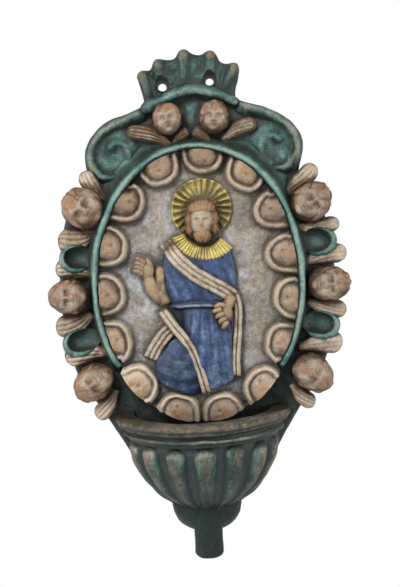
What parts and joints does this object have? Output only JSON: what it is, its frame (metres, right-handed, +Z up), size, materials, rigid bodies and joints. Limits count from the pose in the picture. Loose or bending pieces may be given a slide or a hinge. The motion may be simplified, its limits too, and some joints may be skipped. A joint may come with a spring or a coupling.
{
  "type": "holy water stoup",
  "caption": "Wall-hung glazed terracotta holy water stoup: shell crest, oval relief medallion ringed by winged heads, half-round gadrooned basin.",
  "frame": {"origin": "on the wall face of the back slab, level with the centre of the oval medallion", "axes": "+Z up along the slab, +Y into the wall, -Y out towards the viewer, +X to the viewer's right"},
  "size_m": [0.2256, 0.0825, 0.3708],
  "materials": {
    "green_glaze": "green lead glaze, worn to the clay on the high edges",
    "cup_glaze": "thin cream glaze over brown clay",
    "cherub_glaze": "cream glaze with brown hair",
    "wing_glaze": "worn cream glaze",
    "field_glaze": "speckled grey-lilac tin glaze",
    "yellow_glaze": "yellow glaze",
    "skin_glaze": "ochre glaze",
    "blue_glaze": "cobalt blue glaze",
    "cream_glaze": "cream glaze with brown lines"
  },
  "bodies": {
    "root": {"back_slab": "green_glaze", "basin_bowl": "green_glaze", "basin_rim": "green_glaze", "blessing_arm": "skin_glaze", "collar": "yellow_glaze", "crest_cornice": "green_glaze", "crest_shell": "green_glaze", "egg_cup_01": "cup_glaze", "egg_cup_02": "cup_glaze", "egg_cup_03": "cup_glaze", "egg_cup_04": "cup_glaze", "egg_cup_05": "cup_glaze", "egg_cup_06": "cup_glaze", "egg_cup_07": "cup_glaze", "egg_cup_08": "cup_glaze", "egg_cup_09": "cup_glaze", "egg_cup_10": "cup_glaze", "egg_cup_11": "cup_glaze", "egg_cup_12": "cup_glaze", "egg_cup_13": "cup_glaze", "egg_cup_14": "cup_glaze", "egg_cup_15": "cup_glaze", "figure_head": "skin_glaze", "halo": "yellow_glaze", "hem_bands": "cream_glaze", "knee_drape": "blue_glaze", "left_crest_cherub_head": "cherub_glaze", "left_crest_cherub_wings": "wing_glaze", "left_lower_cherub_head": "cherub_glaze", "left_lower_cherub_wings": "wing_glaze", "left_lower_pocket": "green_glaze", "left_middle_cherub_head": "cherub_glaze", "left_middle_cherub_wings": "wing_glaze", "left_upper_cherub_head": "cherub_glaze", "left_upper_cherub_wings": "wing_glaze", "left_upper_pocket": "green_glaze", "left_volute": "green_glaze", "medallion_dish": "field_glaze", "medallion_ridge": "green_glaze", "pendant": "green_glaze", "resting_hand": "skin_glaze", "right_crest_cherub_head": "cherub_glaze", "right_crest_cherub_wings": "wing_glaze", "right_lower_cherub_head": "cherub_glaze", "right_lower_cherub_wings": "wing_glaze", "right_lower_pocket": "green_glaze", "right_middle_cherub_head": "cherub_glaze", "right_middle_cherub_wings": "wing_glaze", "right_upper_cherub_head": "cherub_glaze", "right_upper_cherub_wings": "wing_glaze", "right_upper_pocket": "green_glaze", "right_volute": "green_glaze", "sash": "cream_glaze", "stub": "green_glaze", "tunic": "blue_glaze"}
  },
  "joints": []
}
